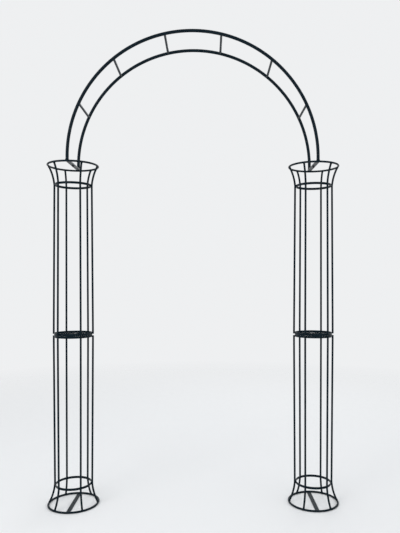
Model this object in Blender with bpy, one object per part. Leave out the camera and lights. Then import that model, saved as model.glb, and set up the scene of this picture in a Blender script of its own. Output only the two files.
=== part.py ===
"""Garden arch: two cage pillars, each of two bolted sections, and a pair of round hoops on top.

Units are metres and +Z is up. X runs across the arch and Y from front to back. The origin is on the
ground, midway between the pillars. Every section is the same welded cage: the lower ones stand upside
down, so that their flared ends are the feet.
"""
import math

import bmesh
import bpy
from mathutils import Vector

# Gap left between pieces that touch
CLEARANCE = 0.0003

# The arch as a whole
PILLAR_SPACING = 1.244
SECTION_LENGTH = 0.875
HOOP_LEG = 0.0151

# Bar, wire and tube
ROD_DIAMETER = 0.010
RIM_WIRE_DIAMETER = 0.010
BAND_THICKNESS = 0.003
NECK_BAND_HEIGHT = 0.012
JOINT_BAND_HEIGHT = 0.012
STRAP_WIDTH = 0.020
HOOP_STRAP_WIDTH = 0.016
STRAP_THICKNESS = 0.004
HOOP_TUBE_DIAMETER = 0.016
HOOP_TUBE_WALL = 0.0012
CROSS_BAR_DIAMETER = 0.012

# One pillar section: radii are those of the wire's or the rods' centre lines
RIM_RADIUS = 0.126
NECK_ROD_RADIUS = 0.096
JOINT_ROD_RADIUS = 0.101
FLARE_HEIGHT = 0.100
FLARE_START_ANGLE = math.radians(5)
ROD_SETBACK = 0.004
FRONT_ROD_ANGLE = math.radians(55)
FRONT_ROD_RIM_ANGLE = math.radians(57)

# Hoops: the gap from a strap's end to the leg on it, and the bars between the hoops
LEG_END_MARGIN = 0.001
CROSS_BAR_COUNT = 6
CROSS_BAR_STEP = math.radians(26.1)

# Bolted joints, one bolt on each pillar's axis
BOLT_DIAMETER = 0.006
BOLT_HOLE_PLAY = 0.001
BOLT_HEAD_WIDTH = 0.010
BOLT_HEAD_HEIGHT = 0.004
NUT_WIDTH = 0.010
NUT_HEIGHT = 0.005
BOLT_END_SHOWING = 0.0021

# Facets
ROD_SIDES = 8
TUBE_SIDES = 12
RING_STEPS = 60
HOOP_STEPS = 36
FLARE_STEPS = 6
STRAP_END_STEPS = 4
BOLT_STEPS = 12
SMOOTH_ANGLE = math.radians(50)

# Finishes: colour, roughness, metallic
SATIN_BLACK_PAINT = ((0.005, 0.010, 0.014, 1.0), 0.45, 0.0)
BLACKENED_STEEL = ((0.06, 0.06, 0.064, 1.0), 0.45, 1.0)

# Sizes that follow from those above
HOOP_RADIUS = PILLAR_SPACING / 2
END_STRAP_REACH = RIM_RADIUS * math.cos(math.pi / RING_STEPS) - RIM_WIRE_DIAMETER / 2 - CLEARANCE
HOOP_STRAP_REACH = RIM_RADIUS
LEG_OFFSET = HOOP_STRAP_REACH - LEG_END_MARGIN - HOOP_TUBE_DIAMETER / 2
RIM_HEIGHT = SECTION_LENGTH - RIM_WIRE_DIAMETER / 2
NECK_HEIGHT = RIM_HEIGHT - FLARE_HEIGHT
END_STRAP_BASE = SECTION_LENGTH - STRAP_THICKNESS
UPPER_SECTION_BASE = SECTION_LENGTH + CLEARANCE
HOOP_STRAP_BASE = UPPER_SECTION_BASE + SECTION_LENGTH + CLEARANCE
HOOP_BASE = HOOP_STRAP_BASE + STRAP_THICKNESS + CLEARANCE
BOLT_HOLE_DIAMETER = BOLT_DIAMETER + BOLT_HOLE_PLAY
BOLT_GRIP = 2 * STRAP_THICKNESS + 3 * CLEARANCE
BOLT_LENGTH = BOLT_GRIP + NUT_HEIGHT + BOLT_END_SHOWING


def clear_scene():
    """Removes whatever the open file holds."""
    for item in list(bpy.data.objects):
        bpy.data.objects.remove(item)


def make_material(name, finish):
    """A plain Principled material from a colour, a roughness and a metallic value."""
    colour, roughness, metallic = finish
    material = bpy.data.materials.new(name)
    material.use_nodes = True
    shader = material.node_tree.nodes["Principled BSDF"]
    shader.inputs["Base Color"].default_value = colour
    shader.inputs["Roughness"].default_value = roughness
    shader.inputs["Metallic"].default_value = metallic
    material.diffuse_color = colour
    return material


def make_mesh(name, bm, finish):
    """Turns a closed shape into a mesh with its own material."""
    bmesh.ops.recalc_face_normals(bm, faces=bm.faces)
    mesh = bpy.data.meshes.new(name)
    bm.to_mesh(mesh)
    bm.free()
    mesh.materials.append(make_material(name, finish))
    mesh.shade_smooth()
    mesh.set_sharp_from_angle(angle=SMOOTH_ANGLE)
    return mesh


def place(name, mesh, parent=None, location=(0, 0, 0), turn=0.0):
    """Adds one named piece, turned about its own Z axis."""
    piece = bpy.data.objects.new(name, mesh)
    bpy.context.scene.collection.objects.link(piece)
    piece.parent = parent
    piece.location = location
    piece.rotation_euler = (0, 0, turn)
    return piece


# Sections and paths

def round_section(diameter, sides):
    """Corners of a round bar's section, one of them on each side of the path's plane."""
    radius = diameter / 2
    angles = [math.pi / 2 + math.tau * k / sides for k in range(sides)]
    return [(radius * math.cos(a), radius * math.sin(a)) for a in angles]


def flat_section(thickness, height):
    """Corners of a flat bar's section, thickness across the path and height square to its plane."""
    t = thickness / 2
    h = height / 2
    return [(t, h), (-t, h), (-t, -h), (t, -h)]


def circle_path(radius, height, steps):
    """Points of a level circle."""
    angles = [math.tau * k / steps for k in range(steps)]
    return [Vector((radius * math.cos(a), radius * math.sin(a), height)) for a in angles]


def path_directions(path, closed):
    """The direction of travel at each point of a path."""
    last = len(path) - 1
    directions = []
    for k, point in enumerate(path):
        before = path[k - 1] if k > 0 or closed else point
        after = path[(k + 1) % len(path)] if k < last or closed else point
        directions.append((after - before).normalized())
    return directions


def bridge(bm, loop_a, loop_b):
    """Faces between two loops with as many corners each."""
    count = len(loop_a)
    for k in range(count):
        n = (k + 1) % count
        bm.faces.new((loop_a[k], loop_a[n], loop_b[n], loop_b[k]))


def swept_bar(path, plane_normal, section, closed=False, bore=None):
    """Carries a section along a flat path, with an optional bore of as many corners."""
    bm = bmesh.new()
    normal = Vector(plane_normal)
    directions = path_directions(path, closed)

    def skin(outline):
        loops = []
        for point, direction in zip(path, directions):
            across = direction.cross(normal)
            loops.append([bm.verts.new(point + across * a + normal * b) for a, b in outline])
        for k in range(len(loops) - 1):
            bridge(bm, loops[k], loops[k + 1])
        return loops

    outer = skin(section)
    if closed:
        bridge(bm, outer[-1], outer[0])
    elif bore:
        inner = skin(bore)
        bridge(bm, outer[0], inner[0])
        bridge(bm, outer[-1], inner[-1])
    else:
        bm.faces.new(outer[0])
        bm.faces.new(outer[-1])
    return bm


# Pieces of one pillar section, whose joint plane is at height 0 and whose flared end is up

def rod_radius_at(height):
    """Distance of a rod's centre line from the pillar's axis, between joint and neck."""
    share = (height - ROD_SETBACK) / (NECK_HEIGHT - ROD_SETBACK)
    return JOINT_ROD_RADIUS + (NECK_ROD_RADIUS - JOINT_ROD_RADIUS) * share


def rod_path():
    """A straight run to the neck, then one arc that leans out until it meets the rim wire.

    Distances are those from the pillar's axis, less the one at the neck.
    """
    spread = RIM_RADIUS - NECK_ROD_RADIUS
    end_angle = 2 * math.atan2(spread, FLARE_HEIGHT) - FLARE_START_ANGLE
    arc_radius = FLARE_HEIGHT / (math.sin(end_angle) - math.sin(FLARE_START_ANGLE))
    wire_contact = RIM_WIRE_DIAMETER / 2 + CLEARANCE
    last_angle = end_angle - wire_contact / arc_radius
    path = [Vector((JOINT_ROD_RADIUS - NECK_ROD_RADIUS, 0, ROD_SETBACK))]
    for k in range(FLARE_STEPS + 1):
        lean = FLARE_START_ANGLE + (last_angle - FLARE_START_ANGLE) * k / FLARE_STEPS
        out = arc_radius * (math.cos(FLARE_START_ANGLE) - math.cos(lean))
        up = arc_radius * (math.sin(lean) - math.sin(FLARE_START_ANGLE))
        path.append(Vector((out, 0, NECK_HEIGHT + up)))
    return path


def rod_mesh():
    bar = round_section(ROD_DIAMETER, ROD_SIDES)
    return make_mesh("rod", swept_bar(rod_path(), (0, 1, 0), bar), SATIN_BLACK_PAINT)


def rim_ring_mesh():
    """Round wire hoop at the flared end."""
    wire = round_section(RIM_WIRE_DIAMETER, ROD_SIDES)
    path = circle_path(RIM_RADIUS, RIM_HEIGHT, RING_STEPS)
    return make_mesh("rim_ring", swept_bar(path, (0, 0, 1), wire, closed=True), SATIN_BLACK_PAINT)


def band_mesh(name, outer_radius, height, band_height):
    """Flat bar rolled into a hoop that the rods are welded to."""
    band = flat_section(BAND_THICKNESS, band_height)
    path = circle_path(outer_radius - BAND_THICKNESS / 2, height, RING_STEPS)
    return make_mesh(name, swept_bar(path, (0, 0, 1), band, closed=True), SATIN_BLACK_PAINT)


def neck_ring_mesh():
    outer = NECK_ROD_RADIUS - ROD_DIAMETER / 2 - CLEARANCE
    return band_mesh("neck_ring", outer, NECK_HEIGHT, NECK_BAND_HEIGHT)


def joined(mesh, other):
    """The union of two meshes that overlap."""
    body = place(mesh.name, mesh)
    welded = place(other.name, other)
    union = body.modifiers.new("weld", "BOOLEAN")
    union.operation = "UNION"
    union.object = welded
    graph = bpy.context.evaluated_depsgraph_get()
    result = bpy.data.meshes.new_from_object(body.evaluated_get(graph))
    bpy.data.objects.remove(body)
    bpy.data.objects.remove(welded)
    return result


def strap_mesh(name, width, end_radius):
    """Flat bar along Y, its ends cut to a radius, with a bolt hole in the middle."""
    bm = bmesh.new()
    edges = []

    def add_loop(points):
        corners = [bm.verts.new((x, y, 0)) for x, y in points]
        for k, corner in enumerate(corners):
            edges.append(bm.edges.new((corners[k - 1], corner)))

    half_end = math.asin(width / 2 / end_radius)
    outline = []
    for side in (0, math.pi):
        for k in range(STRAP_END_STEPS + 1):
            angle = side + half_end * (2 * k / STRAP_END_STEPS - 1)
            outline.append((end_radius * math.sin(angle), end_radius * math.cos(angle)))
    add_loop(outline)
    hole_radius = BOLT_HOLE_DIAMETER / 2
    angles = [math.tau * k / BOLT_STEPS for k in range(BOLT_STEPS)]
    add_loop([(hole_radius * math.cos(a), hole_radius * math.sin(a)) for a in angles])

    bmesh.ops.triangle_fill(bm, use_beauty=True, edges=edges)
    lifted = bmesh.ops.extrude_face_region(bm, geom=list(bm.faces))["geom"]
    corners = [item for item in lifted if isinstance(item, bmesh.types.BMVert)]
    bmesh.ops.translate(bm, verts=corners, vec=(0, 0, STRAP_THICKNESS))
    return make_mesh(name, bm, SATIN_BLACK_PAINT)


def joint_ring_mesh():
    """Flat bar hoop with a strap welded across it, flush with the joint plane."""
    outer = rod_radius_at(JOINT_BAND_HEIGHT) - ROD_DIAMETER / 2 - CLEARANCE
    ring = band_mesh("joint_ring", outer, JOINT_BAND_HEIGHT / 2, JOINT_BAND_HEIGHT)
    return joined(ring, strap_mesh("joint_strap", STRAP_WIDTH, outer - BAND_THICKNESS / 2))


def rod_places():
    """Where each rod stands at the neck, and the direction in which it flares.

    One rod stands at each side of the pillar, and two each towards its front and back.
    """
    neck = FRONT_ROD_ANGLE
    rim = FRONT_ROD_RIM_ANGLE
    angles = [(0, 0), (neck, rim), (math.pi - neck, math.pi - rim),
              (math.pi, math.pi), (math.pi + neck, math.pi + rim), (math.tau - neck, math.tau - rim)]
    places = []
    for at_neck, at_rim in angles:
        foot = Vector((math.cos(at_neck), math.sin(at_neck), 0)) * NECK_ROD_RADIUS
        end = Vector((math.cos(at_rim), math.sin(at_rim), 0)) * RIM_RADIUS
        flare = end - foot
        places.append((foot, math.atan2(flare.y, flare.x)))
    return places


def place_section(name, meshes, base, upside_down):
    """One welded cage section, stood on its joint plane or hung from it."""
    frame = bpy.data.objects.new(name + "_frame", None)
    bpy.context.scene.collection.objects.link(frame)
    frame.location = base
    frame.rotation_euler = (math.pi if upside_down else 0, 0, 0)
    for number, (foot, turn) in enumerate(rod_places(), start=1):
        place(f"{name}_rod_{number}", meshes["rod"], frame, location=foot, turn=turn)
    rim = "foot" if upside_down else "crown"
    place(f"{name}_{rim}_ring", meshes["rim_ring"], frame)
    place(f"{name}_neck_ring", meshes["neck_ring"], frame)
    place(f"{name}_joint_ring", meshes["joint_ring"], frame)
    place(f"{name}_{rim}_strap", meshes["end_strap"], frame, location=(0, 0, END_STRAP_BASE))


# Hoops

def hoop_path():
    """A half circle between two short upright legs."""
    spring = HOOP_BASE + HOOP_LEG
    path = [Vector((HOOP_RADIUS, 0, HOOP_BASE))]
    for k in range(HOOP_STEPS + 1):
        angle = math.pi * k / HOOP_STEPS
        path.append(Vector((HOOP_RADIUS * math.cos(angle), 0, spring + HOOP_RADIUS * math.sin(angle))))
    path.append(Vector((-HOOP_RADIUS, 0, HOOP_BASE)))
    return path


def hoop_mesh():
    tube = round_section(HOOP_TUBE_DIAMETER, TUBE_SIDES)
    bore = round_section(HOOP_TUBE_DIAMETER - 2 * HOOP_TUBE_WALL, TUBE_SIDES)
    return make_mesh("hoop", swept_bar(hoop_path(), (0, 1, 0), tube, bore=bore), SATIN_BLACK_PAINT)


def cross_bar_mesh():
    """Round bar along Y that ends against both hoops."""
    reach = LEG_OFFSET - HOOP_TUBE_DIAMETER / 2 - CLEARANCE
    path = [Vector((0, -reach, 0)), Vector((0, reach, 0))]
    bar = round_section(CROSS_BAR_DIAMETER, ROD_SIDES)
    return make_mesh("cross_bar", swept_bar(path, (0, 0, 1), bar), SATIN_BLACK_PAINT)


def place_hoops(hoop_strap):
    mesh = hoop_mesh()
    place("front_hoop", mesh, location=(0, -LEG_OFFSET, 0))
    place("back_hoop", mesh, location=(0, LEG_OFFSET, 0))
    place("left_hoop_strap", hoop_strap, location=(-HOOP_RADIUS, 0, HOOP_STRAP_BASE))
    place("right_hoop_strap", hoop_strap, location=(HOOP_RADIUS, 0, HOOP_STRAP_BASE))
    bar = cross_bar_mesh()
    for k in range(CROSS_BAR_COUNT):
        from_top = (k - (CROSS_BAR_COUNT - 1) / 2) * CROSS_BAR_STEP
        x = HOOP_RADIUS * math.sin(from_top)
        z = HOOP_BASE + HOOP_LEG + HOOP_RADIUS * math.cos(from_top)
        place(f"cross_bar_{k + 1}", bar, location=(x, 0, z))


# Fasteners: loops of corners around a bolt's axis, each with a height and a radius for every angle

def hexagon(width):
    """Radius of a hexagon, at an angle from one of its corners."""
    return lambda angle: width / 2 / math.cos(angle % (math.pi / 3) - math.pi / 6)


def circle(diameter):
    return lambda angle: diameter / 2


def fastener_mesh(name, levels, hollow):
    """A bolt or nut from its loops, with flat ends or with a bore."""
    bm = bmesh.new()
    angles = [math.tau * k / BOLT_STEPS for k in range(BOLT_STEPS)]
    loops = []
    for height, radius in levels:
        points = [(radius(a) * math.cos(a), radius(a) * math.sin(a), height) for a in angles]
        loops.append([bm.verts.new(point) for point in points])
    for k in range(len(loops) - 1):
        bridge(bm, loops[k], loops[k + 1])
    if hollow:
        bridge(bm, loops[-1], loops[0])
    else:
        bm.faces.new(loops[0])
        bm.faces.new(loops[-1])
    return make_mesh(name, bm, BLACKENED_STEEL)


def bolt_mesh():
    """Head above height 0, shank below."""
    head = hexagon(BOLT_HEAD_WIDTH)
    shank = circle(BOLT_DIAMETER)
    levels = [(BOLT_HEAD_HEIGHT, head), (0, head), (0, shank), (-BOLT_LENGTH, shank)]
    return fastener_mesh("bolt", levels, hollow=False)


def nut_mesh():
    """The nut hangs below height 0."""
    outside = hexagon(NUT_WIDTH)
    bore = circle(BOLT_DIAMETER + 2 * CLEARANCE)
    levels = [(0, outside), (-NUT_HEIGHT, outside), (-NUT_HEIGHT, bore), (0, bore)]
    return fastener_mesh("nut", levels, hollow=True)


def place_bolts():
    """One bolt and nut through each pair of straps, at the middle joints and at the crowns."""
    bolt = bolt_mesh()
    nut = nut_mesh()
    for side, x in (("left", -HOOP_RADIUS), ("right", HOOP_RADIUS)):
        for joint, upper_strap_base in (("joint", UPPER_SECTION_BASE), ("crown", HOOP_STRAP_BASE)):
            seat = upper_strap_base + STRAP_THICKNESS + CLEARANCE
            place(f"{side}_{joint}_bolt", bolt, location=(x, 0, seat))
            place(f"{side}_{joint}_nut", nut, location=(x, 0, seat - BOLT_GRIP))


def main():
    clear_scene()
    meshes = {
        "rod": rod_mesh(),
        "rim_ring": rim_ring_mesh(),
        "neck_ring": neck_ring_mesh(),
        "joint_ring": joint_ring_mesh(),
        "end_strap": strap_mesh("end_strap", STRAP_WIDTH, END_STRAP_REACH),
    }
    for side, x in (("left", -HOOP_RADIUS), ("right", HOOP_RADIUS)):
        place_section(f"{side}_lower", meshes, (x, 0, SECTION_LENGTH), upside_down=True)
        place_section(f"{side}_upper", meshes, (x, 0, UPPER_SECTION_BASE), upside_down=False)
    place_hoops(strap_mesh("hoop_strap", HOOP_STRAP_WIDTH, HOOP_STRAP_REACH))
    place_bolts()


main()
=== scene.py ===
"""Looks of the garden arch: smooth bars, rings, straps and hoops with their welds, bolts and finishes.

Units are metres and +Z is up. X runs across the arch and Y from front to back. Sizes and places are read
from the frame's nodes, and a pillar section is drawn with its joint plane at height 0 and its flare up.
"""
import math

import bmesh
import bpy
from mathutils import Matrix, Vector, noise


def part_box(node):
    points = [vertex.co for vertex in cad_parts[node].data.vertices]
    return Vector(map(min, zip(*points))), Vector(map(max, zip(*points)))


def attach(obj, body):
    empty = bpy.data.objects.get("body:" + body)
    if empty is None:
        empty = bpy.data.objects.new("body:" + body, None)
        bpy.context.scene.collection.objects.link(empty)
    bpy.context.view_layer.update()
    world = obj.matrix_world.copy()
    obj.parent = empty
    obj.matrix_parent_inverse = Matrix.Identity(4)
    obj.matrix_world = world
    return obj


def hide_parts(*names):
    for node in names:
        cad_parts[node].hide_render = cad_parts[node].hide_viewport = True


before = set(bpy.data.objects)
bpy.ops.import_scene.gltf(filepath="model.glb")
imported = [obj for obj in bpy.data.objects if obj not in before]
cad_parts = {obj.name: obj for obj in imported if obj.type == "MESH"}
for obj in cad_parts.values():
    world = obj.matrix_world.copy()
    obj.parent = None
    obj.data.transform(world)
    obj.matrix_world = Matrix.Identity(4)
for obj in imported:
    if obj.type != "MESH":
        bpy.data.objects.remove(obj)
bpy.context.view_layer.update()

# Camera, matched to the photograph: pixels are those of its 400 x 533 frame
FRAME_HEIGHT_PX = 533
FOCAL_LENGTH_PX = 541.8
CENTRE_SHIFT_PX = (17.0, 18.0)
SENSOR_MM = 36.0
CAMERA_PLACE = (0.0764, -2.810, 1.1541)
CAMERA_YAW = -0.0157
CAMERA_PITCH = -0.0072

# Construction that a node's box does not show
CAD_GAP = 0.0003
FLARE_START_ANGLE = math.radians(5)
FRONT_ROD_ANGLE = math.radians(55)
FRONT_ROD_RIM_ANGLE = math.radians(57)
BAND_THICKNESS = 0.003
BOLT_DIAMETER = 0.006
BOLT_HOLE_DIAMETER = 0.007
BOLT_HEAD_HEIGHT = 0.004
THREAD_PITCH = 0.001
TUBE_WALL = 0.0012

# Softened edges, and how far a bar's end reaches into the bar that it is welded to
BAR_END_CHAMFER = 0.0006
BAND_EDGE_RADIUS = 0.0007
STRAP_EDGE_RADIUS = 0.0006
BAR_OVERLAP = 0.0012

# Radii of the weld beads: most of them, round rod ends, near an end strap's outer face, round hoop legs
BEAD_RADIUS = 0.0015
ROD_END_BEAD_RADIUS = 0.0012
STRAP_TOP_BEAD_RADIUS = 0.001125
LEG_BEAD_RADIUS = 0.0014

# Ripples and lumps of a bead, their depths as shares of its radius, and how a bead is drawn
RIPPLE_PITCH = 0.0013
RIPPLE_DEPTH = 0.10
LUMP_DEPTH = 0.14
LUMP_SCALE = 420
BEAD_STEP = 0.0004
BEAD_SIDES = 10
SHORTEST_BEAD_STEPS = 8
TAPER_FLOOR = 0.08

# Where the middle of a bead lies against what it joins
COLLAR_RISE = 0.0003
ROD_COLLAR_INSET = 0.00015
BAR_COLLAR_OUTSET = 0.0003
CREVICE_RISE = 0.000825
CREVICE_GAP = 0.000525
STRAP_BEAD_DROP = 0.0006
STRAP_TOP_BEAD_OUTSET = 0.0009
STRAP_TOP_BEAD_DROP = 0.0015
JOINT_BEAD_OFFSET = 0.00045
LEG_BEAD_OUTSET = 0.0004
LEG_BEAD_INSET = 0.0002
LEG_BEAD_RISE = 0.0004
LEG_BEAD_SAG = 0.0006

# How far beads end from the edges of a band, of a strap and of a seam, and how deep a seam's beads lie
BAND_BEAD_MARGIN = 0.0008
STRAP_BEAD_MARGIN = 0.001
SEAM_BEAD_MARGIN = 0.0012
SEAM_BEAD_DEPTH = 0.0008

# Butt welds that close the rings, between two rods: a rim wire swells there, but not on the face that
# ends the section
SEAM_ANGLE = math.pi - FRONT_ROD_ANGLE / 2
SEAM_LENGTH = 0.008
SEAM_SWELL = 0.0005
SEAM_FALL = 2.2

# Hexagons: the chamfer starts from a circle that is a share of the width across flats
CHAMFER_CIRCLE = 0.475
CHAMFER_ANGLE = math.radians(30)
WASHER_FACE = 0.0004
COUNTERSINK = 0.0005

# Thread: a flank falls THREAD_FLANK times the depth over half a pitch and starts THREAD_CREST of it late,
# which leaves a flat crest and a flat root
THREAD_DEPTH = 0.55 * THREAD_PITCH
THREAD_RUNOUT = 0.8 * THREAD_PITCH
THREAD_FLANK = 1.35
THREAD_CREST = 0.15

# Facets
BAR_SIDES = 28
RING_STEPS = 180
FLARE_STEPS = 16
STRAIGHT_STEPS = 6
HOOP_STEPS = 160
BOLT_SIDES = 48
THREAD_STEPS = 8
STRAP_STEPS = 8
EDGE_STEPS = 4
BEVEL_STEPS = 3
SMOOTH_ANGLE = math.radians(35)

# Paint: linear colours, each layer's noise as (features per metre, detail, low, high), where low and high
# are the part of the noise that counts, and each bump as (features per metre, detail, depth, strength)
PAINT_TONES = ((0.0010, 0.0070, 0.0122), (0.0026, 0.0108, 0.0176))
PAINT_MOTTLE = (22, 3, 0.35, 0.65)
PAINT_SHEEN = (90, 3, 0.3, 0.7)
PAINT_ROUGHNESS = (0.24, 0.40)
PAINT_REFLECTION = 0.09
DUST_COLOUR = (0.12, 0.13, 0.125)
DUST_PATCHES = (65, 4, 0.42, 0.70)
DUST_SLOPE = (0.2, 1.0)
DUST_COVER = 0.10
PEEL = (520, 2, 0.00012, 0.7)
GRAIN = (2600, 2, 0.00003, 0.5)

# Blackened steel, in the same way
OXIDE_TONES = ((0.048, 0.052, 0.060), (0.072, 0.064, 0.056))
OXIDE_CAST = (240, 3, 0.35, 0.65)
OXIDE_SHEEN = (1400, 3, 0.3, 0.7)
OXIDE_ROUGHNESS = (0.30, 0.48)
OXIDE_PITS = (3200, 3, 0.00004, 0.4)
RUBBED_COLOUR = (0.26, 0.26, 0.27)
RUBBED_PATCHES = (900, 4, 0.40, 0.65)
RUBBED_CORNERS = (0.53, 0.60)
RUBBED_COVER = 0.6

# Stage: colours, the floor's sizes, and each lamp's place, size and watts
BACKDROP = (0.86, 0.87, 0.88)
AMBIENT = (0.68, 0.70, 0.72)
FLOOR_COLOUR = (0.93, 0.93, 0.93)
FLOOR_ROUGHNESS = 0.9
FLOOR_REFLECTION = 0.1
FLOOR_RADIUS = 14.0
FLOOR_SIDES = 96
FLOOR_FADE = (1.6, 5.0)
FLOOR_DROP = 0.0002
LAMP_TARGET = (0, 0, 1.2)
LAMPS = {
    "key": ((-2.6, -3.0, 3.6), 2.2, 62),
    "fill": ((3.0, -2.6, 2.0), 2.4, 14),
    "back": ((1.2, 3.2, 3.4), 2.4, 30),
}

# The record's material slots, and the words in its nodes' names
PAINT = "satin_black_paint"
BLACKENED = "blackened_steel"
SIDES = ("left", "right")
LEVELS = (("upper", "crown"), ("lower", "foot"))
BOLTED = ("joint", "crown")


# Materials

class Nodes:
    """A node tree, with short ways to add and join nodes."""

    def __init__(self, tree):
        self.tree = tree

    def node(self, kind, **settings):
        made = self.tree.nodes.new(kind)
        for key, value in settings.items():
            setattr(made, key, value)
        return made

    def link(self, source, target):
        self.tree.links.new(source, target)

    def maths(self, operation, a, b):
        made = self.node("ShaderNodeMath", operation=operation)
        self.link(a, made.inputs[0])
        self.link(b, made.inputs[1])
        return made.outputs[0]

    def spread(self, value, low, high, out_low=0.0, out_high=1.0):
        """Maps low..high of a value to another range."""
        made = self.node("ShaderNodeMapRange")
        for socket, number in zip(("From Min", "From Max", "To Min", "To Max"),
                                  (low, high, out_low, out_high)):
            made.inputs[socket].default_value = number
        self.link(value, made.inputs["Value"])
        return made.outputs["Result"]

    def blend(self, factor, a, b):
        """Mixes two colours, each a socket or a plain colour."""
        made = self.node("ShaderNodeMix", data_type="RGBA")
        self.link(factor, made.inputs["Factor"])
        for slot, colour in (("A", a), ("B", b)):
            socket = next(s for s in made.inputs if s.name == slot and s.type == "RGBA")
            if isinstance(colour, tuple):
                socket.default_value = colour + (1.0,)
            else:
                self.link(colour, socket)
        return next(s for s in made.outputs if s.type == "RGBA")


class Shader(Nodes):
    """A new material with a Principled BSDF, whose noise is laid over the object's own coordinates."""

    def __init__(self, name):
        self.material = bpy.data.materials.new(name)
        self.material.use_nodes = True
        super().__init__(self.material.node_tree)
        self.principled = self.tree.nodes["Principled BSDF"]
        self.where = self.node("ShaderNodeTexCoord").outputs["Object"]

    def noise(self, scale, detail):
        made = self.node("ShaderNodeTexNoise")
        made.inputs["Scale"].default_value = scale
        made.inputs["Detail"].default_value = detail
        self.link(self.where, made.inputs["Vector"])
        return made.outputs["Fac"]

    def layer(self, settings, out_low=0.0, out_high=1.0):
        """A layer of noise, as values between two ends."""
        scale, detail, low, high = settings
        return self.spread(self.noise(scale, detail), low, high, out_low, out_high)

    def bump(self, settings, below=None):
        """A bumpy surface, laid over another one if that is given."""
        scale, detail, depth, strength = settings
        made = self.node("ShaderNodeBump")
        made.inputs["Distance"].default_value = depth
        made.inputs["Strength"].default_value = strength
        self.link(self.noise(scale, detail), made.inputs["Height"])
        if below:
            self.link(below, made.inputs["Normal"])
        return made.outputs["Normal"]

    def drive(self, socket, source):
        self.link(source, self.principled.inputs[socket])

    def set(self, **values):
        for name, value in values.items():
            self.principled.inputs[name.replace("_", " ")].default_value = value


def powder_coat():
    """Satin black powder coat on steel: faint orange peel, uneven sheen and a little dust on top."""
    s = Shader("powder_coat")
    paint = s.blend(s.layer(PAINT_MOTTLE), *PAINT_TONES)
    normal = s.node("ShaderNodeSeparateXYZ")
    s.link(s.node("ShaderNodeNewGeometry").outputs["Normal"], normal.inputs[0])
    facing_up = s.spread(normal.outputs["Z"], *DUST_SLOPE, 0.0, DUST_COVER)
    dust = s.maths("MULTIPLY", facing_up, s.layer(DUST_PATCHES))
    s.drive("Base Color", s.blend(dust, paint, DUST_COLOUR))
    s.drive("Roughness", s.layer(PAINT_SHEEN, *PAINT_ROUGHNESS))
    s.drive("Normal", s.bump(GRAIN, below=s.bump(PEEL)))
    s.set(Specular_IOR_Level=PAINT_REFLECTION)
    return s.material


def blackened_steel():
    """Oiled black oxide with a faint brown and blue cast, and corners rubbed a little brighter."""
    s = Shader("blackened_steel")
    oxide = s.blend(s.layer(OXIDE_CAST), *OXIDE_TONES)
    corners = s.spread(s.node("ShaderNodeNewGeometry").outputs["Pointiness"], *RUBBED_CORNERS,
                       0.0, RUBBED_COVER)
    rubbed = s.maths("MULTIPLY", corners, s.layer(RUBBED_PATCHES))
    s.drive("Base Color", s.blend(rubbed, oxide, RUBBED_COLOUR))
    s.drive("Roughness", s.layer(OXIDE_SHEEN, *OXIDE_ROUGHNESS))
    s.drive("Normal", s.bump(OXIDE_PITS))
    s.set(Metallic=1.0)
    return s.material


# Shapes

def even(value):
    """The same value at every angle."""
    return lambda angle: value


def turns(count):
    """Angles of evenly spaced corners round a circle."""
    return [math.tau * k / count for k in range(count)]


def bridge(bm, loop_a, loop_b):
    """Faces between two loops with as many corners each."""
    count = len(loop_a)
    for k in range(count):
        n = (k + 1) % count
        bm.faces.new((loop_a[k], loop_a[n], loop_b[n], loop_b[k]))


def finish_mesh(bm, name):
    """A mesh with its faces pointing out, smooth but for its sharp edges."""
    bmesh.ops.recalc_face_normals(bm, faces=bm.faces)
    mesh = bpy.data.meshes.new(name)
    bm.to_mesh(mesh)
    bm.free()
    mesh.shade_smooth()
    mesh.set_sharp_from_angle(angle=SMOOTH_ANGLE)
    return mesh


def path_directions(path, closed):
    """The direction of travel at each point of a path."""
    last = len(path) - 1
    directions = []
    for k, point in enumerate(path):
        before = path[k - 1] if k > 0 or closed else point
        after = path[(k + 1) % len(path)] if k < last or closed else point
        directions.append((after - before).normalized())
    return directions


def add_tube(bm, path, radii, sides, closed=False, capped=True):
    """Skins a round bar of changing radius along a path, and returns its loops of corners."""
    directions = path_directions(path, closed)
    across = directions[0].orthogonal().normalized()
    loops = []
    for point, direction, radius in zip(path, directions, radii):
        across = (across - direction * across.dot(direction)).normalized()
        up = direction.cross(across)
        loops.append([bm.verts.new(point + (across * math.cos(a) + up * math.sin(a)) * radius)
                      for a in turns(sides)])
    for k in range(len(loops) - 1):
        bridge(bm, loops[k], loops[k + 1])
    if closed:
        bridge(bm, loops[-1], loops[0])
    elif capped:
        bm.faces.new(loops[0])
        bm.faces.new(loops[-1])
    return loops


def bar_mesh(name, path, radius):
    """Round bar whose two cut ends are lightly chamfered."""
    directions = path_directions(path, closed=False)
    full = list(path)
    full.insert(1, path[0] + directions[0] * BAR_END_CHAMFER)
    full.insert(-1, path[-1] - directions[-1] * BAR_END_CHAMFER)
    radii = [radius] * len(full)
    radii[0] = radii[-1] = radius - BAR_END_CHAMFER
    bm = bmesh.new()
    add_tube(bm, full, radii, BAR_SIDES)
    return finish_mesh(bm, name)


def pipe_mesh(name, path, radius, wall):
    """Open tube with a bore."""
    bm = bmesh.new()
    outer = add_tube(bm, path, [radius] * len(path), BAR_SIDES, capped=False)
    inner = add_tube(bm, path, [radius - wall] * len(path), BAR_SIDES, capped=False)
    bridge(bm, outer[0], inner[0])
    bridge(bm, outer[-1], inner[-1])
    return finish_mesh(bm, name)


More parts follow.
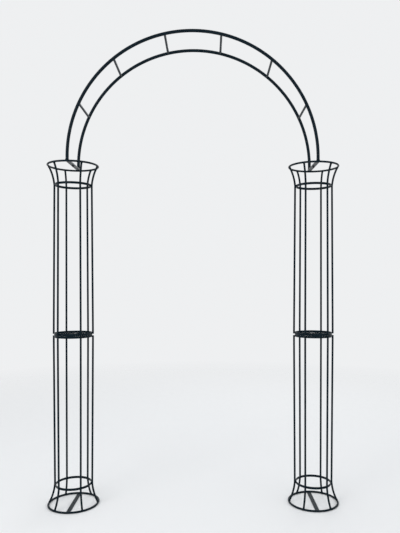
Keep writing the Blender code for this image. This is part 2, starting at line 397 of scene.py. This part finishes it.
def turned_mesh(name, section_at):
    """Turns a closed section about the axis: section_at(angle) gives its (radius, height) corners."""
    bm = bmesh.new()
    loops = []
    for angle in turns(RING_STEPS):
        loops.append([bm.verts.new((r * math.cos(angle), r * math.sin(angle), z))
                      for r, z in section_at(angle)])
    for k, loop in enumerate(loops):
        bridge(bm, loops[k - 1], loop)
    return finish_mesh(bm, name)


def band_mesh(name, ring):
    """Level ring of flat bar with rounded edges."""
    radius = BAND_EDGE_RADIUS
    inner = ring.outer - BAND_THICKNESS
    corners = ((ring.outer - radius, ring.high - radius), (inner + radius, ring.high - radius),
               (inner + radius, ring.low + radius), (ring.outer - radius, ring.low + radius))
    section = []
    for quarter, (r, z) in enumerate(corners):
        for k in range(EDGE_STEPS + 1):
            angle = (quarter + k / EDGE_STEPS) * math.pi / 2
            section.append((r + radius * math.cos(angle), z + radius * math.sin(angle)))
    return turned_mesh(name, even(section))


def rim_ring_mesh(section):
    """Rim wire with the butt weld that closes it, ground flush on the face that ends the section."""
    def wire(angle):
        away = abs((angle - SEAM_ANGLE + math.pi) % math.tau - math.pi) * section.rim_radius
        swell = SEAM_SWELL * math.exp(-(SEAM_FALL * away / SEAM_LENGTH) ** 2)
        points = []
        for a in turns(BAR_SIDES):
            radius = section.wire_radius + swell * (1 - max(0.0, math.sin(a)))
            points.append((section.rim_radius + radius * math.cos(a),
                           section.rim_height + radius * math.sin(a)))
        return points
    return turned_mesh("rim_ring", wire)


def strap_mesh(name, width, reach, thickness):
    """Flat bar along Y whose ends are cut to an arc, with a bolt hole in the middle."""
    bm = bmesh.new()
    angles = [math.pi / 4 + a for a in turns(BOLT_SIDES)]
    hole = [Vector((math.cos(a), math.sin(a), 0)) * BOLT_HOLE_DIAMETER / 2 for a in angles]
    square = [v * (width / 2 / max(abs(v.x), abs(v.y))) for v in hole]
    loop = [bm.verts.new(v) for v in square]
    bridge(bm, [bm.verts.new(v) for v in hole], loop)
    quarter = BOLT_SIDES // 4
    for first in (0, 2 * quarter):
        row = loop[first:first + quarter + 1]
        starts = [v.co.copy() for v in row]
        for step in range(1, STRAP_STEPS + 1):
            beyond = []
            for v in starts:
                end = math.copysign(math.sqrt(reach ** 2 - v.x ** 2), v.y)
                beyond.append(bm.verts.new((v.x, v.y + (end - v.y) * step / STRAP_STEPS, 0)))
            for k in range(quarter):
                bm.faces.new((row[k], row[k + 1], beyond[k + 1], beyond[k]))
            row = beyond
    lifted = bmesh.ops.extrude_face_region(bm, geom=list(bm.faces))["geom"]
    corners = [item for item in lifted if isinstance(item, bmesh.types.BMVert)]
    bmesh.ops.translate(bm, verts=corners, vec=(0, 0, thickness))
    return finish_mesh(bm, name)


# Weld beads

def add_bead(bm, curve, length, radius, closed=False):
    """A rippled, slightly lumpy bead along curve(t), t from 0 to 1, tapered at free ends."""
    count = max(SHORTEST_BEAD_STEPS, round(length / BEAD_STEP))
    path = []
    radii = []
    for k in range(count):
        t = k / count if closed else k / (count - 1)
        point = curve(t)
        ripple = RIPPLE_DEPTH * math.cos(math.tau * t * round(length / RIPPLE_PITCH))
        lump = LUMP_DEPTH * noise.noise(point * LUMP_SCALE)
        taper = 1.0
        if not closed:
            from_end = min(t, 1 - t) * length / radius
            taper = math.sqrt(max(TAPER_FLOOR, 1 - max(0.0, 1 - from_end) ** 2))
        path.append(point)
        radii.append(radius * taper * (1 + ripple + lump))
    add_tube(bm, path, radii, BEAD_SIDES, closed=closed)


def add_upright_bead(bm, place, low, high):
    """A straight bead from one height to another, above a place on the joint plane."""
    add_bead(bm, lambda t: place + Vector((0, 0, low + (high - low) * t)), high - low, BEAD_RADIUS)


def add_collar(bm, centre, axis, along, ring_radius, radius, host_radius=None):
    """A bead round a bar's end, where it stands on a flat or on a round bar that runs along a line."""
    across = axis.cross(along).normalized()

    def curve(t):
        s = ring_radius * math.sin(math.tau * t)
        fall = 0.0
        if host_radius:
            fall = host_radius - math.sqrt(max(0.0, host_radius ** 2 - s * s))
        return centre + along * ring_radius * math.cos(math.tau * t) + across * s + axis * fall

    add_bead(bm, curve, math.tau * ring_radius, radius, closed=True)


def add_leg_weld(bm, centre, strap_half, tube_radius):
    """A bead round a hoop's leg that stands on a strap no wider than itself."""
    along = tube_radius + LEG_BEAD_OUTSET
    across = strap_half - LEG_BEAD_INSET

    def curve(t):
        a = math.tau * t
        sag = LEG_BEAD_SAG * math.sin(a) ** 2
        return centre + Vector((across * math.sin(a), along * math.cos(a), -sag))

    add_bead(bm, curve, math.pi * (along + across), LEG_BEAD_RADIUS, closed=True)


def rod_weld_mesh(section):
    """All the beads that join the rods of a section to its rings."""
    bm = bmesh.new()
    up = Vector((0, 0, 1))
    rod_radius = section.rod_radius
    aside = math.sqrt((rod_radius + CREVICE_GAP) ** 2 - (rod_radius - CREVICE_RISE) ** 2)
    for foot, flare in section.rods():
        lean = flare * math.sin(section.flare_end_angle) + up * math.cos(section.flare_end_angle)
        wire = foot + flare * (section.rim_radius - section.neck_rods) + up * section.rim_height
        end = wire - lean * (section.wire_radius + COLLAR_RISE)
        add_collar(bm, end, -lean, up.cross(flare), rod_radius - ROD_COLLAR_INSET, ROD_END_BEAD_RADIUS)
        for ring in (section.neck, section.joint):
            low = max(ring.low, section.rod_start) + BAND_BEAD_MARGIN
            high = ring.high - BAND_BEAD_MARGIN
            out = (foot + flare * section.rod_offset_at(ring.middle)).normalized()
            tangent = up.cross(out)
            for way in (-1, 1):
                place = out * (ring.outer + CREVICE_RISE) + tangent * (aside * way)
                add_upright_bead(bm, place, low, high)
    return finish_mesh(bm, "rod_welds")


def strap_weld_mesh(section):
    """Beads that join the end strap to the rim wire, and the joint strap to its ring."""
    bm = bmesh.new()
    half = section.strap_width / 2 - STRAP_BEAD_MARGIN
    groove = (section.strap_reach + section.rim_radius - section.wire_radius) / 2
    strap_top = section.strap_base + section.strap_thickness
    runs = (
        (groove, section.strap_base - STRAP_BEAD_DROP, BEAD_RADIUS),
        (groove + STRAP_TOP_BEAD_OUTSET, strap_top - STRAP_TOP_BEAD_DROP, STRAP_TOP_BEAD_RADIUS),
        (section.joint.outer - BAND_THICKNESS - JOINT_BEAD_OFFSET,
         section.strap_thickness + JOINT_BEAD_OFFSET, BEAD_RADIUS),
    )
    for radius, height, bead in runs:
        half_angle = math.asin(half / radius)
        for end in (-1, 1):

            def across(t, end=end):
                angle = end * math.pi / 2 + half_angle * (2 * t - 1)
                return Vector((radius * math.cos(angle), radius * math.sin(angle), height))

            add_bead(bm, across, 2 * half, bead)
    return finish_mesh(bm, "strap_welds")


def seam_weld_mesh(section):
    """Flat beads across the butt joints of the neck and joint rings, outside and inside."""
    bm = bmesh.new()
    out = Vector((math.cos(SEAM_ANGLE), math.sin(SEAM_ANGLE), 0))
    for ring in (section.neck, section.joint):
        for radius in (ring.outer - SEAM_BEAD_DEPTH, ring.outer - BAND_THICKNESS + SEAM_BEAD_DEPTH):
            add_upright_bead(bm, out * radius, ring.low + SEAM_BEAD_MARGIN, ring.high - SEAM_BEAD_MARGIN)
    return finish_mesh(bm, "seam_welds")


# Reading the frame

class Ring:
    """Place and size of a level ring, relative to its section's joint plane."""

    def __init__(self, node, base):
        low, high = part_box(node)
        self.outer = (high.x - low.x) / 2
        self.low = low.z - base
        self.high = high.z - base
        self.middle = (self.low + self.high) / 2
        self.height = high.z - low.z


class Section:
    """Sizes of one pillar section, all four being alike."""

    def __init__(self):
        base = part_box("right_upper_joint_ring")[0].z
        self.joint = Ring("right_upper_joint_ring", base)
        self.neck = Ring("right_upper_neck_ring", base)
        rim = Ring("right_upper_crown_ring", base)
        self.wire_radius = rim.height / 2
        self.rim_radius = rim.outer - self.wire_radius
        self.rim_height = rim.middle
        low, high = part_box("right_upper_rod_1")
        self.rod_radius = (high.y - low.y) / 2
        self.rod_start = low.z - base
        self.joint_rods = self.joint.outer + CAD_GAP + self.rod_radius
        self.neck_rods = self.neck.outer + CAD_GAP + self.rod_radius
        rise = self.rim_height - self.neck.middle
        chord_angle = math.atan2(self.rim_radius - self.neck_rods, rise)
        self.flare_end_angle = 2 * chord_angle - FLARE_START_ANGLE
        self.flare_radius = rise / (math.sin(self.flare_end_angle) - math.sin(FLARE_START_ANGLE))
        low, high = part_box("right_upper_crown_strap")
        self.strap_width = high.x - low.x
        self.strap_reach = (high.y - low.y) / 2
        self.strap_thickness = high.z - low.z
        self.strap_base = low.z - base

    def rods(self):
        """Where each rod stands at the neck, and the direction in which it flares."""
        neck = FRONT_ROD_ANGLE
        rim = FRONT_ROD_RIM_ANGLE
        angles = [(0, 0), (neck, rim), (math.pi - neck, math.pi - rim),
                  (math.pi, math.pi), (math.pi + neck, math.pi + rim), (math.tau - neck, math.tau - rim)]
        places = []
        for at_neck, at_rim in angles:
            foot = Vector((math.cos(at_neck), math.sin(at_neck), 0)) * self.neck_rods
            end = Vector((math.cos(at_rim), math.sin(at_rim), 0)) * self.rim_radius
            places.append((foot, (end - foot).normalized()))
        return places

    def rod_offset_at(self, height):
        """How far out from its place at the neck a rod's straight run lies."""
        share = (height - self.joint.height) / (self.neck.middle - self.joint.height)
        return (self.joint_rods - self.neck_rods) * (1 - share)

    def rod_path(self):
        """A rod's middle line from the joint to the rim wire, with X the way in which it flares."""
        last_angle = self.flare_end_angle - (self.wire_radius - BAR_OVERLAP) / self.flare_radius
        path = []
        for k in range(STRAIGHT_STEPS):
            height = self.rod_start + (self.neck.middle - self.rod_start) * k / STRAIGHT_STEPS
            path.append(Vector((self.rod_offset_at(height), 0, height)))
        for k in range(FLARE_STEPS + 1):
            lean = FLARE_START_ANGLE + (last_angle - FLARE_START_ANGLE) * k / FLARE_STEPS
            out = self.flare_radius * (math.cos(FLARE_START_ANGLE) - math.cos(lean))
            up = self.flare_radius * (math.sin(lean) - math.sin(FLARE_START_ANGLE))
            path.append(Vector((out, 0, self.neck.middle + up)))
        return path


class Hoop:
    """Sizes of one hoop, both being alike."""

    def __init__(self):
        low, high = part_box("front_hoop")
        self.tube_radius = (high.y - low.y) / 2
        self.radius = (high.x - low.x) / 2 - self.tube_radius
        self.spring_height = high.z - self.tube_radius - self.radius
        self.foot_height = low.z

    def path(self):
        """The tube's middle line: a leg, a half circle and the other leg."""
        path = [Vector((self.radius, 0, self.foot_height))]
        for k in range(HOOP_STEPS + 1):
            angle = math.pi * k / HOOP_STEPS
            path.append(Vector((self.radius * math.cos(angle), 0,
                                self.spring_height + self.radius * math.sin(angle))))
        path.append(Vector((-self.radius, 0, self.foot_height)))
        return path


# Pieces

def add_piece(name, mesh, material, slot, nodes=(), location=(0, 0, 0), turn=(0, 0, 0)):
    """Adds one finished piece that rides on the arch and stands for the named nodes."""
    if not mesh.materials:
        mesh.materials.append(material)
    piece = bpy.data.objects.new(name, mesh)
    bpy.context.scene.collection.objects.link(piece)
    piece.location = location
    piece.rotation_euler = turn
    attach(piece, "root")
    if nodes:
        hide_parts(*nodes)
    return piece


def soften(piece):
    """Rounds a strap's edges."""
    bevel = piece.modifiers.new("edges", "BEVEL")
    bevel.width = STRAP_EDGE_RADIUS
    bevel.segments = BEVEL_STEPS
    bevel.limit_method = "ANGLE"
    bevel.angle_limit = SMOOTH_ANGLE
    bevel.harden_normals = True


def build_sections(paint):
    """The four cage sections, each node with its own finished piece, and their welds."""
    section = Section()
    rod = bar_mesh("rod", section.rod_path(), section.rod_radius)
    rim_ring = rim_ring_mesh(section)
    neck_ring = band_mesh("neck_ring", section.neck)
    joint_ring = band_mesh("joint_ring", section.joint)
    end_strap = strap_mesh("end_strap", section.strap_width, section.strap_reach,
                           section.strap_thickness)
    joint_strap = strap_mesh("joint_strap", section.strap_width,
                             section.joint.outer - BAND_THICKNESS / 2,
                             section.strap_thickness)
    welds = {"rod_welds": rod_weld_mesh(section), "strap_welds": strap_weld_mesh(section),
             "seam_welds": seam_weld_mesh(section)}
    for side in SIDES:
        for level, rim in LEVELS:
            name = f"{side}_{level}"
            low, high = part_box(f"{name}_joint_ring")
            upright = level == "upper"
            place = ((low.x + high.x) / 2, 0, low.z if upright else high.z)
            over = 0 if upright else math.pi
            way = 1 if upright else -1
            for number, (foot, flare) in enumerate(section.rods(), start=1):
                node = f"{name}_rod_{number}"
                stand = (place[0] + foot.x, way * foot.y, place[2])
                spin = way * math.atan2(flare.y, flare.x)
                add_piece(node + "_bar", rod, paint, PAINT, [node], stand, (over, 0, spin))
            flat = {"location": place, "turn": (over, 0, 0)}
            add_piece(f"{name}_{rim}_ring_wire", rim_ring, paint, PAINT, [f"{name}_{rim}_ring"], **flat)
            add_piece(f"{name}_neck_ring_band", neck_ring, paint, PAINT, [f"{name}_neck_ring"], **flat)
            add_piece(f"{name}_joint_ring_band", joint_ring, paint, PAINT, [f"{name}_joint_ring"], **flat)
            strap = add_piece(f"{name}_joint_strap", joint_strap, paint, PAINT,
                              [f"{name}_joint_ring"], **flat)
            soften(strap)
            at_end = (place[0], 0, place[2] + way * section.strap_base)
            strap = add_piece(f"{name}_{rim}_strap_bar", end_strap, paint, PAINT,
                              [f"{name}_{rim}_strap"], at_end, (over, 0, 0))
            soften(strap)
            for kind, mesh in welds.items():
                add_piece(f"{name}_{kind}", mesh, paint, PAINT, **flat)


def build_hoop_straps(paint):
    """The straps that join the front and back leg of the hoops."""
    for side in SIDES:
        node = f"{side}_hoop_strap"
        low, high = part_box(node)
        strap = strap_mesh(node + "_bar", high.x - low.x, (high.y - low.y) / 2, high.z - low.z)
        soften(add_piece(node + "_bar", strap, paint, PAINT, [node], ((low.x + high.x) / 2, 0, low.z)))


def build_cross_bars(paint, hoop, welds):
    """The bars from hoop to hoop, with a bead round each end."""
    for node in sorted(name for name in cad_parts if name.startswith("cross_bar_")):
        low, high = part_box(node)
        centre = (low + high) / 2
        bar_radius = (high.z - low.z) / 2
        reach = (high.y - low.y) / 2
        end = reach + BAR_OVERLAP
        bar = bar_mesh(node + "_bar", [Vector((0, -end, 0)), Vector((0, 0, 0)), Vector((0, end, 0))],
                       bar_radius)
        add_piece(node + "_bar", bar, paint, PAINT, [node], centre)
        outward = Vector((centre.x, 0, centre.z - hoop.spring_height)).normalized()
        along_hoop = Vector((outward.z, 0, -outward.x))
        for way in (-1, 1):
            end_centre = centre + Vector((0, way * (reach + CAD_GAP), 0))
            add_collar(welds, end_centre, Vector((0, way, 0)), along_hoop,
                       bar_radius + BAR_COLLAR_OUTSET, BEAD_RADIUS, host_radius=hoop.tube_radius)


def build_hoops(paint):
    """Both hoops, their foot straps, the bars between them and their welds."""
    hoop = Hoop()
    tube = pipe_mesh("hoop", hoop.path(), hoop.tube_radius, TUBE_WALL)
    low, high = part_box("right_hoop_strap")
    strap_half = (high.x - low.x) / 2
    welds = bmesh.new()
    for node in ("front_hoop", "back_hoop"):
        low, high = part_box(node)
        offset = (low.y + high.y) / 2
        add_piece(node + "_tube", tube, paint, PAINT, [node], (0, offset, 0))
        for x in (-hoop.radius, hoop.radius):
            foot = Vector((x, offset, hoop.foot_height + LEG_BEAD_RISE))
            add_leg_weld(welds, foot, strap_half, hoop.tube_radius)
    build_hoop_straps(paint)
    build_cross_bars(paint, hoop, welds)
    add_piece("hoop_welds", finish_mesh(welds, "hoop_welds"), paint, PAINT)


# Fasteners

def hexagon(across_flats):
    """Distance to a hexagon's side, by the angle from one of its corners."""
    return lambda angle: across_flats / 2 / math.cos(angle % (math.pi / 3) - math.pi / 6)


def chamfered(across_flats, height, way):
    """Where a hexagon's sides meet the cone that chamfers its corners, below or above a face."""
    side = hexagon(across_flats)
    circle = CHAMFER_CIRCLE * across_flats
    return lambda angle: height + way * (side(angle) - circle) * math.tan(CHAMFER_ANGLE)


def add_loops(bm, levels, closed):
    """Bridges loops round an axis, each given by functions of the angle for radius and height."""
    loops = []
    for radius_at, height_at in levels:
        loops.append([bm.verts.new((radius_at(a) * math.cos(a), radius_at(a) * math.sin(a), height_at(a)))
                      for a in turns(BOLT_SIDES)])
    for k in range(len(loops) - 1):
        bridge(bm, loops[k], loops[k + 1])
    if closed:
        bridge(bm, loops[-1], loops[0])
    else:
        bm.faces.new(loops[0])
        bm.faces.new(loops[-1])


def thread_levels(length):
    """Loops of a screw thread from height 0 down, which runs out at its lower end."""
    count = round(length / THREAD_PITCH * THREAD_STEPS)
    levels = []
    for k in range(count + 1):
        height = -length * k / count

        def radius_at(angle, height=height):
            phase = (height / THREAD_PITCH + angle / math.tau) % 1
            groove = min(1.0, max(0.0, abs(2 * phase - 1) * THREAD_FLANK - THREAD_CREST))
            runout = min(1.0, (height + length) / THREAD_RUNOUT)
            return BOLT_DIAMETER / 2 - THREAD_DEPTH * groove - (1 - runout) * THREAD_DEPTH / 2

        levels.append((radius_at, even(height)))
    return levels


def bolt_mesh(across_flats, length):
    """Hexagon head with a washer face above height 0, threaded shank below."""
    side = hexagon(across_flats)
    circle = even(CHAMFER_CIRCLE * across_flats)
    head = [(circle, even(BOLT_HEAD_HEIGHT)), (side, chamfered(across_flats, BOLT_HEAD_HEIGHT, -1)),
            (side, even(WASHER_FACE)), (circle, even(WASHER_FACE)), (circle, even(0.0))]
    bm = bmesh.new()
    add_loops(bm, head + thread_levels(length), closed=False)
    return finish_mesh(bm, "bolt")


def nut_mesh(across_flats, height):
    """Hexagon nut below height 0, chamfered on both faces and countersunk at its bore."""
    side = hexagon(across_flats)
    circle = even(CHAMFER_CIRCLE * across_flats)
    bore = even(BOLT_DIAMETER / 2 + CAD_GAP)
    mouth = even(BOLT_DIAMETER / 2 + CAD_GAP + COUNTERSINK)
    levels = [(mouth, even(0.0)), (circle, even(0.0)),
              (side, chamfered(across_flats, 0.0, -1)), (side, chamfered(across_flats, -height, 1)),
              (circle, even(-height)), (mouth, even(-height)),
              (bore, even(COUNTERSINK - height)), (bore, even(-COUNTERSINK))]
    bm = bmesh.new()
    add_loops(bm, levels, closed=True)
    return finish_mesh(bm, "nut")


def build_fasteners(steel):
    """The bolts, with their heads on top of the straps, and the nuts below the straps."""
    low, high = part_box("right_joint_bolt")
    bolt = bolt_mesh(high.y - low.y, high.z - low.z - BOLT_HEAD_HEIGHT)
    low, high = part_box("right_joint_nut")
    nut = nut_mesh(high.y - low.y, high.z - low.z)
    for side in SIDES:
        for joint in BOLTED:
            node = f"{side}_{joint}_bolt"
            low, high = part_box(node)
            seat = ((low.x + high.x) / 2, 0, high.z - BOLT_HEAD_HEIGHT)
            add_piece(node + "_screw", bolt, steel, BLACKENED, [node], seat)
            node = f"{side}_{joint}_nut"
            low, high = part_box(node)
            seat = ((low.x + high.x) / 2, 0, high.z)
            add_piece(node + "_hex", nut, steel, BLACKENED, [node], seat)


# Stage

def build_floor():
    """Pale round floor that fades into the backdrop's colour."""
    bm = bmesh.new()
    bmesh.ops.create_circle(bm, cap_ends=True, segments=FLOOR_SIDES, radius=FLOOR_RADIUS)
    mesh = bpy.data.meshes.new("floor")
    bm.to_mesh(mesh)
    bm.free()
    s = Shader("floor")
    s.set(Roughness=FLOOR_ROUGHNESS, Base_Color=FLOOR_COLOUR + (1.0,), Specular_IOR_Level=FLOOR_REFLECTION)
    from_middle = s.node("ShaderNodeVectorMath", operation="LENGTH")
    s.link(s.where, from_middle.inputs[0])
    clear = s.node("ShaderNodeBsdfTransparent")
    mixed = s.node("ShaderNodeMixShader")
    s.link(s.spread(from_middle.outputs["Value"], *FLOOR_FADE), mixed.inputs["Fac"])
    s.link(s.principled.outputs["BSDF"], mixed.inputs[1])
    s.link(clear.outputs["BSDF"], mixed.inputs[2])
    s.link(mixed.outputs["Shader"], s.tree.nodes["Material Output"].inputs["Surface"])
    mesh.materials.append(s.material)
    floor = bpy.data.objects.new("floor", mesh)
    floor.location = (0, 0, -FLOOR_DROP)
    bpy.context.scene.collection.objects.link(floor)


def build_world():
    """Plain soft surroundings: camera, mirror and see-through rays meet the backdrop's colour."""
    world = bpy.data.worlds.new("studio")
    world.use_nodes = True
    nodes = Nodes(world.node_tree)
    rays = nodes.node("ShaderNodeLightPath").outputs
    seen = nodes.maths("MAXIMUM", rays["Is Camera Ray"], rays["Is Transmission Ray"])
    seen = nodes.maths("MAXIMUM", seen, rays["Is Glossy Ray"])
    colour = nodes.blend(seen, AMBIENT, BACKDROP)
    nodes.link(colour, world.node_tree.nodes["Background"].inputs["Color"])
    bpy.context.scene.world = world


def build_lights():
    """Square soft boxes that face the arch."""
    for name, (place, size, watts) in LAMPS.items():
        data = bpy.data.lights.new(name, "AREA")
        data.size = size
        data.energy = watts
        lamp = bpy.data.objects.new(name, data)
        lamp.location = place
        direction = Vector(LAMP_TARGET) - Vector(place)
        lamp.rotation_euler = direction.to_track_quat("-Z", "Y").to_euler()
        bpy.context.scene.collection.objects.link(lamp)


def build_camera():
    """The photograph's view: a nearly level look at the arch, from a little right of its middle."""
    data = bpy.data.cameras.new("camera")
    data.sensor_width = SENSOR_MM
    data.lens = FOCAL_LENGTH_PX / FRAME_HEIGHT_PX * SENSOR_MM
    data.shift_x = -CENTRE_SHIFT_PX[0] / FRAME_HEIGHT_PX
    data.shift_y = CENTRE_SHIFT_PX[1] / FRAME_HEIGHT_PX
    camera = bpy.data.objects.new("camera", data)
    turn = Matrix.Rotation(CAMERA_YAW, 4, "Z") @ Matrix.Rotation(CAMERA_PITCH + math.pi / 2, 4, "X")
    camera.matrix_world = Matrix.Translation(CAMERA_PLACE) @ turn
    bpy.context.scene.collection.objects.link(camera)
    bpy.context.scene.camera = camera


build_camera()
build_world()
build_floor()
build_lights()
painted = powder_coat()
build_sections(painted)
build_hoops(painted)
build_fasteners(blackened_steel())
bpy.context.scene.view_settings.view_transform = "Standard"
